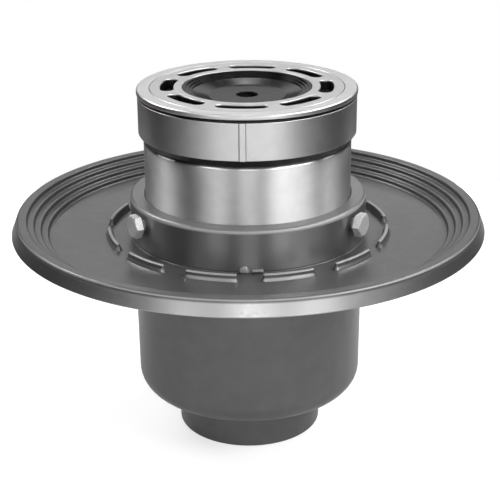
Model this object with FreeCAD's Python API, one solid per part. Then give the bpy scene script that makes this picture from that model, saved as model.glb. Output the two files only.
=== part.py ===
import FreeCAD, Part
import math
import os

# Floor trap for a washing machine drain, in millimetres.
# +Z is up, the origin is the centre of the outlet's lower rim, and the front is -Y.

# Standpipe cast inside the chamber, its rim is the weir
standpipe_bore_d = 53.0
standpipe_wall = 4.5
standpipe_height = 59.0

# Outlet socket for the drain pipe
socket_shoulder = 3.3
socket_bore_d = standpipe_bore_d + 2 * socket_shoulder
socket_depth = 20.0
socket_mouth_chamfer = 1.5
outlet_wall = 9.0
outlet_outer_d = socket_bore_d + 2 * outlet_wall
outlet_length = 22.5
outlet_edge_round = 1.2

# Plated sleeve that slides in the neck
sleeve_d = 108.2
sleeve_wall = 3.5
sleeve_length = 59.3
sleeve_stand_out = 28.9
sleeve_edge_chamfer = 0.6
sleeve_slide_clearance = 0.3
sleeve_travel_down = 25.0
sleeve_stop_gap = 3.0
sleeve_stop_width = 1.4
sleeve_bore_d = sleeve_d + 2 * sleeve_slide_clearance

# Water-seal chamber of the casting
chamber_bore_d = sleeve_bore_d - 2 * sleeve_stop_width
chamber_wall = 7.4
chamber_draft = 0.6
chamber_base_d = chamber_bore_d + 2 * chamber_wall
chamber_top_d = chamber_base_d + 2 * chamber_draft
chamber_base_rise = 0.8
chamber_base_round = 11.0
chamber_floor_thickness = 6.5
chamber_floor_round = 5.0
chamber_floor_height = outlet_length + chamber_floor_thickness
weir_height = chamber_floor_height + standpipe_height

# Wide stepped flange that takes the waterproofing membrane
flange_d = 250.0
rim_top_height = 123.4
rim_height = 8.2
rim_slope_run = 3.3
rim_edge_round = 1.2
rim_land = 5.1
step_count = 4
step_run = 3.6
step_drop = 2.6
floor_fall = 1.8
flange_thickness = 6.0
underside_round = 6.0
rim_bottom_height = rim_top_height - rim_height
rim_top_d = flange_d - 2 * rim_slope_run
step_outer_d = rim_top_d - 2 * rim_land
floor_outer_height = rim_top_height - step_count * step_drop
floor_inner_height = floor_outer_height - floor_fall

# Neck that holds the adjusting sleeve
neck_wall = 7.9
neck_rise = 10.0
neck_edge_round = 1.8
neck_foot_round = 2.5
neck_mouth_chamfer = 0.5
neck_d = sleeve_bore_d + 2 * neck_wall
neck_height = rim_top_height + neck_rise
sleeve_top_height = neck_height + sleeve_stand_out
sleeve_bottom_height = sleeve_top_height - sleeve_length
sleeve_stop_height = sleeve_bottom_height - sleeve_travel_down - sleeve_stop_gap

# Short raised ribs on the flange floor round the neck
rib_count = 12
rib_reach = 12.55
rib_thickness = 2.2
rib_height = 4.2
rib_span_deg = 20.4
rib_turn_deg = 0.6
rib_sink = 1.5
rib_edge_round = 0.6

# Casting marks on the foot of the neck, a round pip and a short bar
mark_rise = 1.1
pip_d = 5.0
pip_turn_deg = -2.0
bar_length = 5.8
bar_width = 1.5
bar_turn_deg = 4.2
mark_proud = 1.2

# Set bolts through the neck
bolt_turns_deg = (-60.0, 60.0, 180.0)
bolt_below_neck_top = 8.2
bolt_shank_d = 6.4
bolt_head_flats = 11.0
bolt_head_thickness = 4.4
bolt_head_gap = 1.7
bolt_tip_chamfer = 0.8
bolt_tip_gap = 0.3
bolt_thread_clearance = 0.05
bolt_head_chamfer_deg = 30.0
bolt_height = neck_height - bolt_below_neck_top

# Threaded frame that screws into the sleeve and carries the strainer
frame_shoulder_gap = 0.3
frame_shoulder_height = 4.2
frame_wall_proud = 2.5
frame_wall_height = 22.9
frame_lip_proud = 0.45
frame_lip_thickness = 2.5
frame_lip_round = 0.8
frame_rim_width = 6.7
frame_groove_height = 1.5
frame_groove_depth = 2.4
frame_spigot_length = 22.0
frame_spigot_wall = 3.8
frame_thread_clearance = 0.3
key_foot_width = 4.4
key_face_width = 1.9
key_turn_deg = -2.4
seal_groove_height = 3.0
seal_groove_depth = 1.8
seal_groove_above_end = 5.0
seal_running_clearance = 0.05
seal_side_clearance = 0.1
frame_shoulder_d = sleeve_d - 2 * sleeve_edge_chamfer
frame_wall_d = sleeve_d + 2 * frame_wall_proud
frame_lip_d = frame_wall_d + 2 * frame_lip_proud
frame_spigot_d = sleeve_d - 2 * sleeve_wall - 2 * frame_thread_clearance
frame_bore_d = frame_spigot_d - 2 * frame_spigot_wall
frame_shoulder_level = sleeve_top_height + frame_shoulder_gap
frame_wall_bottom_height = frame_shoulder_level + frame_shoulder_height
frame_top_height = frame_wall_bottom_height + frame_wall_height
frame_end_height = frame_shoulder_level - frame_spigot_length
seal_groove_bottom_height = frame_end_height + seal_groove_above_end

# Slotted strainer plate and the gasket it sits on
plate_seat_clearance = 0.15
plate_thickness = 5.0
plate_edge_round = 0.4
gasket_thickness = 1.5
slot_count = 8
slot_inset = 8.9
slot_width = 6.8
slot_length = 25.6
slot_turn_deg = -4.0
opening_inset = 16.8
opening_ledge_width = 2.9
opening_ledge_thickness = 2.4
rebate_d = frame_lip_d - 2 * frame_rim_width
plate_d = rebate_d - 2 * plate_seat_clearance
slot_circle_d = plate_d - 2 * slot_inset
opening_d = plate_d - 2 * opening_inset
opening_ledge_d = opening_d - 2 * opening_ledge_width

# Stepped rubber bush for the drain hose in the middle of the plate
bush_clearance = 0.2
bush_ring_count = 3
bush_ring_width = 1.6
bush_ring_drop = 0.8
bush_rim_below_top = 0.2
bush_floor_depth = 4.6
bush_floor_thickness = 2.6
bush_hole_d = 11.0
bush_floor_round = 3.0
bush_wall = 10.3
bush_body_d = opening_ledge_d - 2 * bush_clearance
bush_floor_d = bush_body_d - 2 * bush_wall

# Bell that stands over the weir
bell_side_gap = 11.5
bell_wall = 2.5
bell_skirt_gap = 9.0
bell_crown_gap = 12.0
bell_crown_rise = 3.0
bell_crown_round = 4.0
bell_fin_count = 3
bell_fin_thickness = 3.0
bell_fin_inner_d = 36.0
bell_fin_drop = 22.0
bell_fin_clearance = 0.5
knob_d = 20.0
knob_stem_d = 9.0
knob_height = 13.0
knob_cap_thickness = 4.0
knob_round = 1.2
bell_d = chamber_bore_d - 2 * bell_side_gap
bell_skirt_height = chamber_floor_height + bell_skirt_gap

AXIS = FreeCAD.Vector(0, 0, 1)
CENTRE = FreeCAD.Vector(0, 0, 0)


def outline(corners):
    """Closed face in the XZ plane from (radius, height[, rounding]) corners."""
    points = [FreeCAD.Vector(c[0], 0, c[1]) for c in corners]
    rounds = [c[2] if len(c) > 2 else 0.0 for c in corners]
    count = len(points)
    runs = []
    for i in range(count):
        corner = points[i]
        if rounds[i] <= 0:
            runs.append((corner, None, corner))
            continue
        back = (points[i - 1] - corner).normalize()
        ahead = (points[(i + 1) % count] - corner).normalize()
        half = math.acos(max(-1.0, min(1.0, back.dot(ahead)))) / 2
        reach = rounds[i] / math.tan(half)
        centre = corner + (back + ahead).normalize() * (rounds[i] / math.sin(half))
        middle = centre + (corner - centre).normalize() * rounds[i]
        runs.append((corner + back * reach, middle, corner + ahead * reach))
    edges = []
    for i in range(count):
        start, middle, end = runs[i]
        if middle is not None:
            edges.append(Part.Arc(start, middle, end).toShape())
        following = runs[(i + 1) % count][0]
        if end.distanceToPoint(following) > 1e-6:
            edges.append(Part.makeLine(end, following))
    return Part.Face(Part.Wire(edges))


def turned(corners, span_deg=360.0):
    """Solid of revolution about the vertical axis, starting at +X."""
    return outline(corners).revolve(CENTRE, AXIS, span_deg)


def facing(shape, turn_deg):
    """Copy of a shape made along +X, turned to an angle counted from the front towards +X."""
    copy = shape.copy()
    copy.rotate(CENTRE, AXIS, turn_deg - 90.0)
    return copy


def sector(corners, span_deg, turn_deg):
    """Part of a ring centred on an angle counted from the front."""
    return facing(turned(corners, span_deg), turn_deg - span_deg / 2)


def rod(diameter, start_r, end_r, height):
    """Round bar along +X between two radii."""
    base = FreeCAD.Vector(start_r, 0, height)
    return Part.makeCylinder(diameter / 2, end_r - start_r, base, FreeCAD.Vector(1, 0, 0))


def arc_slot(circle_d, width, length, bottom, height):
    """Curved slot with round ends, centred on +X."""
    middle_r = circle_d / 2
    half = (length - width) / 2 / middle_r
    inner_r = middle_r - width / 2
    outer_r = middle_r + width / 2

    def at(radius, angle):
        return FreeCAD.Vector(radius * math.cos(angle), radius * math.sin(angle), bottom)

    def end_tip(sign):
        centre = at(middle_r, sign * half)
        along = FreeCAD.Vector(-math.sin(sign * half), math.cos(sign * half), 0)
        return centre + along * (sign * width / 2)

    edges = [
        Part.Arc(at(outer_r, -half), at(outer_r, 0), at(outer_r, half)).toShape(),
        Part.Arc(at(outer_r, half), end_tip(1), at(inner_r, half)).toShape(),
        Part.Arc(at(inner_r, half), at(inner_r, 0), at(inner_r, -half)).toShape(),
        Part.Arc(at(inner_r, -half), end_tip(-1), at(outer_r, -half)).toShape(),
    ]
    return Part.Face(Part.Wire(edges)).extrude(FreeCAD.Vector(0, 0, height))


def trap_body():
    """One iron casting: socket, chamber, standpipe, stepped flange, neck, ribs and marks."""
    neck_r = neck_d / 2
    sleeve_bore_r = sleeve_bore_d / 2
    chamber_base = outlet_length + chamber_base_rise
    chamber_bore_r = chamber_bore_d / 2
    pipe_bore_r = standpipe_bore_d / 2
    pipe_r = pipe_bore_r + standpipe_wall
    socket_r = socket_bore_d / 2
    last_step_r = step_outer_d / 2 - (step_count - 1) * step_run
    underside = floor_inner_height - flange_thickness
    corners = [
        (socket_r + socket_mouth_chamfer, 0),
        (outlet_outer_d / 2, 0, outlet_edge_round),
        (outlet_outer_d / 2, outlet_length),
        (chamber_base_d / 2, chamber_base, chamber_base_round),
        (chamber_top_d / 2, underside, underside_round),
        (last_step_r - flange_thickness, underside),
        (flange_d / 2 - rim_edge_round, rim_bottom_height),
        (flange_d / 2, rim_bottom_height),
        (rim_top_d / 2, rim_top_height, rim_edge_round),
    ]
    for step in range(step_count):
        riser_r = step_outer_d / 2 - step * step_run
        tread = rim_top_height - step * step_drop
        corners.append((riser_r, tread))
        corners.append((riser_r, tread - step_drop))
    corners += [
        (neck_r, floor_inner_height, neck_foot_round),
        (neck_r, neck_height, neck_edge_round),
        (sleeve_bore_r + neck_mouth_chamfer, neck_height),
        (sleeve_bore_r, neck_height - neck_mouth_chamfer),
        (sleeve_bore_r, sleeve_stop_height),
        (chamber_bore_r, sleeve_stop_height),
        (chamber_bore_r, chamber_floor_height, chamber_floor_round),
        (pipe_r, chamber_floor_height, chamber_floor_round),
        (pipe_r, weir_height),
        (pipe_bore_r, weir_height),
        (pipe_bore_r, socket_depth),
        (socket_r, socket_depth),
        (socket_r, socket_mouth_chamfer),
    ]
    body = turned(corners)
    rib_r = neck_r + rib_reach
    rib_foot = floor_inner_height - rib_sink
    rib_top = floor_inner_height + rib_height
    mark_height = floor_inner_height + mark_rise
    rib_section = [
        (rib_r - rib_thickness, rib_foot),
        (rib_r, rib_foot),
        (rib_r, rib_top, rib_edge_round),
        (rib_r - rib_thickness, rib_top, rib_edge_round),
    ]
    pitch = 360.0 / rib_count
    additions = []
    for rib in range(rib_count):
        centre_deg = (rib + 0.5) * pitch + rib_turn_deg
        additions.append(sector(rib_section, rib_span_deg, centre_deg))
    pip = rod(pip_d, neck_r - mark_proud, neck_r + mark_proud, mark_height)
    additions.append(facing(pip, pip_turn_deg))
    bar_span_deg = math.degrees(bar_length / neck_r)
    bar_section = [
        (neck_r - mark_proud, mark_height - bar_width / 2),
        (neck_r + mark_proud, mark_height - bar_width / 2),
        (neck_r + mark_proud, mark_height + bar_width / 2),
        (neck_r - mark_proud, mark_height + bar_width / 2),
    ]
    additions.append(sector(bar_section, bar_span_deg, bar_turn_deg))
    body = body.fuse(additions)
    hole_d = bolt_shank_d + 2 * bolt_thread_clearance
    holes = []
    for turn in bolt_turns_deg:
        holes.append(facing(rod(hole_d, pipe_r, rib_r, bolt_height), turn))
    return body.cut(holes).removeSplitter()


def set_bolt(turn_deg):
    """Hexagon-head bolt lying along a radius of the neck, its tip just off the sleeve."""
    tip_r = sleeve_d / 2 + bolt_tip_gap
    head_r = neck_d / 2 + bolt_head_gap
    end_r = head_r + bolt_head_thickness
    corner_r = bolt_head_flats / 2 / math.cos(math.pi / 6)
    chamfer = (corner_r - bolt_head_flats / 2) * math.tan(math.radians(bolt_head_chamfer_deg))
    hexagon = []
    for corner in range(7):
        angle = corner * math.pi / 3
        across = corner_r * math.sin(angle)
        hexagon.append(FreeCAD.Vector(head_r, across, corner_r * math.cos(angle)))
    head = Part.Face(Part.makePolygon(hexagon)).extrude(FreeCAD.Vector(bolt_head_thickness, 0, 0))
    crown = turned([
        (0, 0),
        (corner_r, 0),
        (corner_r, bolt_head_thickness - chamfer),
        (bolt_head_flats / 2, bolt_head_thickness),
        (0, bolt_head_thickness),
    ])
    crown.rotate(CENTRE, FreeCAD.Vector(0, 1, 0), 90)
    crown.translate(FreeCAD.Vector(head_r, 0, 0))
    shank_r = bolt_shank_d / 2
    shank = turned([
        (0, 0),
        (shank_r - bolt_tip_chamfer, 0),
        (shank_r, bolt_tip_chamfer),
        (shank_r, end_r - tip_r - bolt_head_thickness / 2),
        (0, end_r - tip_r - bolt_head_thickness / 2),
    ])
    shank.rotate(CENTRE, FreeCAD.Vector(0, 1, 0), 90)
    shank.translate(FreeCAD.Vector(tip_r, 0, 0))
    bolt = head.common(crown).fuse(shank).removeSplitter()
    bolt.translate(FreeCAD.Vector(0, 0, bolt_height))
    return facing(bolt, turn_deg)


def adjusting_sleeve():
    """Plain plated tube, chamfered at both ends."""
    outer = sleeve_d / 2
    inner = outer - sleeve_wall
    return turned([
        (inner, sleeve_bottom_height),
        (outer - sleeve_edge_chamfer, sleeve_bottom_height),
        (outer, sleeve_bottom_height + sleeve_edge_chamfer),
        (outer, sleeve_top_height - sleeve_edge_chamfer),
        (outer - sleeve_edge_chamfer, sleeve_top_height),
        (inner, sleeve_top_height),
    ])


def strainer_frame():
    """Turned ring with a lip, a rebate for the plate and a spigot into the sleeve."""
    bore_r = frame_bore_d / 2
    spigot_r = frame_spigot_d / 2
    groove_low = seal_groove_bottom_height
    groove_high = groove_low + seal_groove_height
    rebate_r = rebate_d / 2
    seat = frame_top_height - plate_thickness - gasket_thickness
    lip_r = frame_lip_d / 2
    lip_bottom = frame_top_height - frame_lip_thickness
    wall_r = frame_wall_d / 2
    groove_r = wall_r - frame_groove_depth
    wall_top = lip_bottom - frame_groove_height
    frame = turned([
        (bore_r, frame_end_height),
        (spigot_r, frame_end_height),
        (spigot_r, groove_low),
        (spigot_r - seal_groove_depth, groove_low),
        (spigot_r - seal_groove_depth, groove_high),
        (spigot_r, groove_high),
        (spigot_r, frame_shoulder_level),
        (frame_shoulder_d / 2, frame_shoulder_level),
        (wall_r, frame_wall_bottom_height),
        (wall_r, wall_top),
        (groove_r, wall_top),
        (groove_r, lip_bottom),
        (lip_r, lip_bottom),
        (lip_r, frame_top_height, frame_lip_round),
        (rebate_r, frame_top_height),
        (rebate_r, seat),
        (bore_r, seat),
    ])
    foot_r = math.sqrt(wall_r ** 2 - (key_foot_width / 2) ** 2)
    key_plan = [
        (groove_r, -key_foot_width / 2),
        (foot_r, -key_foot_width / 2),
        (lip_r, -key_face_width / 2),
        (lip_r, key_face_width / 2),
        (foot_r, key_foot_width / 2),
        (groove_r, key_foot_width / 2),
        (groove_r, -key_foot_width / 2),
    ]
    key_wire = Part.makePolygon([FreeCAD.Vector(x, y, frame_wall_bottom_height) for x, y in key_plan])
    key = Part.Face(key_wire).extrude(FreeCAD.Vector(0, 0, wall_top - frame_wall_bottom_height))
    return frame.fuse(facing(key, key_turn_deg)).removeSplitter()


def frame_seal():
    """Square rubber ring in the spigot's groove, running in the sleeve."""
    inner = frame_spigot_d / 2 - seal_groove_depth + seal_running_clearance
    outer = sleeve_d / 2 - sleeve_wall - seal_running_clearance
    low = seal_groove_bottom_height + seal_side_clearance
    high = seal_groove_bottom_height + seal_groove_height - seal_side_clearance
    return turned([(inner, low), (outer, low), (outer, high), (inner, high)])


def plate_gasket():
    """Flat rubber ring under the strainer plate."""
    top = frame_top_height - plate_thickness
    low = top - gasket_thickness
    inner = frame_bore_d / 2
    outer = plate_d / 2
    return turned([(inner, low), (outer, low), (outer, top), (inner, top)])


def strainer_plate():
    """Round plate with a ring of curved slots and a ledged opening."""
    bottom = frame_top_height - plate_thickness
    ledge = bottom + opening_ledge_thickness
    plate = turned([
        (opening_ledge_d / 2, bottom),
        (plate_d / 2, bottom),
        (plate_d / 2, frame_top_height, plate_edge_round),
        (opening_d / 2, frame_top_height, plate_edge_round),
        (opening_d / 2, ledge),
        (opening_ledge_d / 2, ledge),
    ])
    slot = arc_slot(slot_circle_d, slot_width, slot_length, bottom, plate_thickness)
    slots = []
    for number in range(slot_count):
        slots.append(facing(slot, slot_turn_deg + number * 360.0 / slot_count))
    return plate.cut(slots)


def hose_bush():
    """Rubber bush whose rings step down to a thin floor with a pilot hole."""
    ledge = frame_top_height - plate_thickness + opening_ledge_thickness
    outer = opening_d / 2 - bush_clearance
    body_r = bush_body_d / 2
    rim = frame_top_height - bush_rim_below_top
    floor = frame_top_height - bush_floor_depth
    bottom = floor - bush_floor_thickness
    corners = [
        (bush_hole_d / 2, bottom),
        (body_r, bottom, bush_floor_round),
        (body_r, ledge),
        (outer, ledge),
        (outer, rim),
    ]
    for ring in range(1, bush_ring_count + 1):
        ring_r = outer - ring * bush_ring_width
        level = rim - (ring - 1) * bush_ring_drop
        corners.append((ring_r, level))
        corners.append((ring_r, level - bush_ring_drop))
    corners += [
        (bush_floor_d / 2, floor),
        (bush_hole_d / 2, floor),
    ]
    return turned(corners)


def bell_cup():
    """Inverted moulded cup with fins that stand on the weir and a lifting knob."""
    outer = bell_d / 2
    inner = outer - bell_wall
    crown = weir_height + bell_crown_gap
    crown_centre = crown + bell_crown_rise
    top = crown_centre + bell_wall
    knob_top = top + knob_height
    knob_low = knob_top - knob_cap_thickness
    cup = turned([
        (0, crown_centre),
        (inner, crown),
        (inner, bell_skirt_height),
        (outer, bell_skirt_height),
        (outer, crown + bell_wall, bell_crown_round),
        (knob_stem_d / 2, top),
        (knob_stem_d / 2, knob_low),
        (knob_d / 2, knob_low, knob_round),
        (knob_d / 2, knob_top, knob_round),
        (0, knob_top),
    ])
    pipe_r = standpipe_bore_d / 2 + standpipe_wall
    guide_r = pipe_r + bell_fin_clearance
    sunk_r = inner + bell_wall / 2
    fin_low = weir_height - bell_fin_drop
    fin_top = crown + bell_wall / 2
    fin_face = outline([
        (bell_fin_inner_d / 2, weir_height),
        (guide_r, weir_height),
        (guide_r, fin_low),
        (sunk_r, fin_low),
        (sunk_r, fin_top),
        (bell_fin_inner_d / 2, fin_top),
    ])
    fin = fin_face.extrude(FreeCAD.Vector(0, bell_fin_thickness, 0))
    fin.translate(FreeCAD.Vector(0, -bell_fin_thickness / 2, 0))
    fins = [facing(fin, number * 360.0 / bell_fin_count) for number in range(bell_fin_count)]
    return cup.fuse(fins).removeSplitter()


NODES = {
    "trap_body": trap_body(),
    "adjusting_sleeve": adjusting_sleeve(),
    "frame_seal": frame_seal(),
    "strainer_frame": strainer_frame(),
    "plate_gasket": plate_gasket(),
    "strainer_plate": strainer_plate(),
    "hose_bush": hose_bush(),
    "bell_cup": bell_cup(),
    "set_bolt_left": set_bolt(bolt_turns_deg[0]),
    "set_bolt_right": set_bolt(bolt_turns_deg[1]),
    "set_bolt_back": set_bolt(bolt_turns_deg[2]),
}

os.makedirs("parts", exist_ok=True)
for name, shape in NODES.items():
    shape.exportStep("parts/" + name + ".step")
    print(name, shape.isValid(), len(shape.Solids), round(shape.Volume / 1000.0, 2), "cm3")
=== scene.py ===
"""Washing machine floor trap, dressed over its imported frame."""

import logging
import math
from abc import ABC, abstractmethod
from dataclasses import dataclass, field
from enum import Enum
from typing import Any, Optional, Sequence

import bmesh
import bpy
from mathutils import Matrix, Vector


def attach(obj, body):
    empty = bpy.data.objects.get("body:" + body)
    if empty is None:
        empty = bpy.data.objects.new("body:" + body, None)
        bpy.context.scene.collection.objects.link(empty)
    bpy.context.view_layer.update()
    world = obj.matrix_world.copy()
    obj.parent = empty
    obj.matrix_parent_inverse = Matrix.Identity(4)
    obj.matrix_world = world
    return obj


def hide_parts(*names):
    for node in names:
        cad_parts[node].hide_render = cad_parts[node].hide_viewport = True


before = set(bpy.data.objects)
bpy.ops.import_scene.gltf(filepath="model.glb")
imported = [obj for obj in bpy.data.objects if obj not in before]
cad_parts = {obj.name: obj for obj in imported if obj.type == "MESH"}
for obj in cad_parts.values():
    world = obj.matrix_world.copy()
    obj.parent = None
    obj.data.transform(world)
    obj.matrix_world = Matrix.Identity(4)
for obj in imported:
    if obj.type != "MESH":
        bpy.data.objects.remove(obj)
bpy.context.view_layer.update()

LOG = logging.getLogger("floor_trap")
MM = 0.001
SHARP_DEG = 38.0
RING_SEGMENTS = 192
WIDE_SEGMENTS = 240
HOLE_POINTS = 32
HELIX_POINTS = 72
RIDGE_POINTS = 4
WELD_MM = 1e-4
NOISE_LOW, NOISE_HIGH = 0.3, 0.7
NOISE_ROUGHNESS = 0.55
QUARTER_TURN = 0.25
WHITE = (1.0, 1.0, 1.0, 1.0)

Point = tuple[float, float]
Tree = bpy.types.NodeTree
Node = bpy.types.Node
Socket = bpy.types.NodeSocket
Material = bpy.types.Material
Object = bpy.types.Object
BMesh = bmesh.types.BMesh


class Body(Enum):
    """Moving bodies of the trap."""

    TRAP = "trap"
    SLEEVE = "sleeve"
    TOP = "top"
    BOLT_LEFT = "bolt_left"
    BOLT_RIGHT = "bolt_right"
    BOLT_BACK = "bolt_back"


class Slot(Enum):
    """Material slots of the record."""

    IRON = "painted_iron"
    SLEEVE = "plated_sleeve"
    FRAME = "plated_frame"
    PLATE = "plated_plate"
    BOLT = "bolt_steel"
    BUSH = "bush_rubber"


def linear(hex_colour: str) -> tuple[float, float, float, float]:
    """Turns an sRGB hex colour into linear RGBA.

    Args:
        hex_colour: Colour such as "#8a8a8a".

    Returns:
        Linear red, green and blue with full alpha.
    """
    values = [int(hex_colour[i:i + 2], 16) / 255 for i in (1, 3, 5)]
    parts = [v / 12.92 if v <= 0.04045 else ((v + 0.055) / 1.055) ** 2.4 for v in values]
    return (parts[0], parts[1], parts[2], 1.0)


def add_node(tree: Tree, kind: str, inputs: Optional[dict[Any, Any]] = None, **settings: Any) -> Node:
    """Adds one node to a tree and wires it up.

    Args:
        tree: Node tree that takes the node.
        kind: Node type.
        inputs: Values or sockets by input name or number.
        **settings: Properties of the node itself.

    Returns:
        The new node.
    """
    node = tree.nodes.new(kind)
    for name, value in settings.items():
        setattr(node, name, value)
    for key, value in (inputs or {}).items():
        if isinstance(value, Socket):
            tree.links.new(value, node.inputs[key])
        else:
            node.inputs[key].default_value = value
    return node


@dataclass(frozen=True)
class Band:
    """Ring-shaped region of a turned piece, in millimetres, with soft limits."""

    inner: float
    outer: float
    low: float
    high: float
    fade: float = 0.3

    def mask(self, tree: Tree, place: Socket) -> Socket:
        """Mask of the region.

        Args:
            tree: Material's tree.
            place: Coordinates in metres.

        Returns:
            1 inside the region and 0 outside.
        """
        flat = add_node(tree, "ShaderNodeVectorMath", {0: place, 1: (1.0, 1.0, 0.0)}, operation="MULTIPLY")
        length = add_node(tree, "ShaderNodeVectorMath", {0: flat.outputs["Vector"]}, operation="LENGTH")
        radius = length.outputs["Value"]
        height = add_node(tree, "ShaderNodeSeparateXYZ", {"Vector": place}).outputs["Z"]
        inside: Any = 1.0
        for value, start, fade in (
            (radius, self.inner, self.fade),
            (radius, self.outer, -self.fade),
            (height, self.low, self.fade),
            (height, self.high, -self.fade),
        ):
            limit = add_node(tree, "ShaderNodeMapRange", {
                "Value": value,
                "From Min": start * MM,
                "From Max": (start + fade) * MM,
            })
            both = add_node(tree, "ShaderNodeMath", {
                0: inside,
                1: limit.outputs["Result"],
            }, operation="MULTIPLY")
            inside = both.outputs["Value"]
        return inside

    @classmethod
    def any_of(cls, tree: Tree, place: Socket, bands: Sequence["Band"]) -> Socket:
        """Mask of several regions together.

        Args:
            tree: Material's tree.
            place: Coordinates in metres.
            bands: The regions.

        Returns:
            The mask.
        """
        together = bands[0].mask(tree, place)
        for band in bands[1:]:
            together = add_node(tree, "ShaderNodeMath", {
                0: together,
                1: band.mask(tree, place),
            }, operation="MAXIMUM").outputs["Value"]
        return together


@dataclass(frozen=True)
class Worked:
    """Faces that differ from the rest of a finish; what is None stays as the finish has it."""

    bands: tuple[Band, ...]
    colour: Optional[str] = None
    metallic: Optional[float] = None
    roughness: Optional[float] = None
    stretch: Optional[float] = None
    smooth: bool = False

    def lay(self, tree: Tree, place: Socket, shader: Node) -> None:
        """Lays the faces' own looks over what the shader has so far.

        Args:
            tree: Material's tree.
            place: Coordinates in metres.
            shader: Principled shader, with its colour and bump linked.
        """
        mask = Band.any_of(tree, place, self.bands)
        if self.colour is not None:
            base = shader.inputs["Base Color"]
            mixed = add_node(tree, "ShaderNodeMix", {
                "Factor": mask,
                "A": base.links[0].from_socket,
                "B": linear(self.colour),
            }, data_type="RGBA")
            tree.links.new(mixed.outputs["Result"], base)
        changes = [
            (shader.inputs["Metallic"], self.metallic),
            (shader.inputs["Roughness"], self.roughness),
            (shader.inputs["Anisotropic"], self.stretch),
        ]
        if self.smooth:
            bump = shader.inputs["Normal"].links[0].from_node
            changes.append((bump.inputs["Strength"], 0.0))
        for socket, value in changes:
            if value is not None:
                before = socket.links[0].from_socket if socket.links else socket.default_value
                eased = add_node(tree, "ShaderNodeMapRange", {
                    "Value": mask,
                    "To Min": before,
                    "To Max": value,
                })
                tree.links.new(eased.outputs["Result"], socket)


@dataclass(frozen=True)
class Finish(ABC):
    """A real surface finish that becomes one procedural material.

    The swing is how far the roughness falls below and rises above its value.
    """

    name: str
    colour: str
    roughness: float
    metallic: float = 0.0
    pale: str = "#808080"
    swing: tuple[float, float] = (0.05, 0.06)
    worked: tuple[Worked, ...] = ()

    @abstractmethod
    def draw(self, tree: Tree, place: Socket, shader: Node) -> None:
        """Adds the finish's own detail to the shader."""

    def material(self) -> Material:
        """Builds the material, with its detail in object space.

        Returns:
            The finished material.
        """
        made = bpy.data.materials.new(self.name)
        made.use_nodes = True
        tree = made.node_tree
        tree.nodes.clear()
        place = add_node(tree, "ShaderNodeTexCoord").outputs["Object"]
        shader = add_node(tree, "ShaderNodeBsdfPrincipled", {
            "Base Color": linear(self.colour),
            "Roughness": self.roughness,
            "Metallic": self.metallic,
        })
        self.draw(tree, place, shader)
        for faces in self.worked:
            faces.lay(tree, place, shader)
        add_node(tree, "ShaderNodeOutputMaterial", {"Surface": shader.outputs["BSDF"]})
        return made

    @staticmethod
    def grain(tree: Tree, place: Socket, size_mm: float, detail: float) -> Socket:
        """Noise whose blobs are about as wide as the given size.

        Args:
            tree: Material's tree.
            place: Coordinates in metres.
            size_mm: Width of one blob in millimetres.
            detail: Octaves of finer noise.

        Returns:
            Noise from 0 to 1.
        """
        noise = add_node(tree, "ShaderNodeTexNoise", {
            "Vector": place,
            "Scale": 1 / (size_mm * MM),
            "Detail": detail,
            "Roughness": NOISE_ROUGHNESS,
        })
        return noise.outputs["Fac"]

    def cloud(self, tree: Tree, shader: Node, noise: Socket) -> None:
        """Colours the shader between the finish's two tones.

        Args:
            tree: Material's tree.
            shader: Principled shader.
            noise: Noise from 0 to 1, of which the busy middle is used.
        """
        ramp = add_node(tree, "ShaderNodeValToRGB", {"Fac": noise})
        stops = zip(ramp.color_ramp.elements, (NOISE_LOW, NOISE_HIGH), (self.colour, self.pale))
        for stop, position, tone in stops:
            stop.position = position
            stop.color = linear(tone)
        tree.links.new(ramp.outputs["Color"], shader.inputs["Base Color"])

    def unsettle(self, tree: Tree, shader: Node, noise: Socket) -> None:
        """Makes the shader's roughness uneven within the finish's swing.

        Args:
            tree: Material's tree.
            shader: Principled shader.
            noise: Noise from 0 to 1, of which the busy middle is used.
        """
        below, above = self.swing
        mapped = add_node(tree, "ShaderNodeMapRange", {
            "Value": noise,
            "From Min": NOISE_LOW,
            "From Max": NOISE_HIGH,
            "To Min": self.roughness - below,
            "To Max": self.roughness + above,
        })
        tree.links.new(mapped.outputs["Result"], shader.inputs["Roughness"])

    @staticmethod
    def turn_lines(tree: Tree, shader: Node) -> None:
        """Sets the shader's stretched reflections across lines that run round the vertical axis."""
        shader.inputs["Anisotropic Rotation"].default_value = QUARTER_TURN
        around = add_node(tree, "ShaderNodeTangent", direction_type="RADIAL", axis="Z")
        tree.links.new(around.outputs["Tangent"], shader.inputs["Tangent"])

    @staticmethod
    def relief(tree: Tree, shader: Node, height: Socket, depth_mm: float,
               under: Optional[Node] = None) -> Node:
        """Gives the shader a bump of a real depth.

        Args:
            tree: Material's tree.
            shader: Principled shader.
            height: Height from 0 to 1.
            depth_mm: Height of 1 in millimetres.
            under: Coarser bump that this one lies on.

        Returns:
            The bump node.
        """
        inputs: dict[Any, Any] = {"Height": height, "Strength": 1.0, "Distance": depth_mm * MM}
        if under is not None:
            inputs["Normal"] = under.outputs["Normal"]
        bump = add_node(tree, "ShaderNodeBump", inputs)
        tree.links.new(bump.outputs["Normal"], shader.inputs["Normal"])
        return bump


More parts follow.
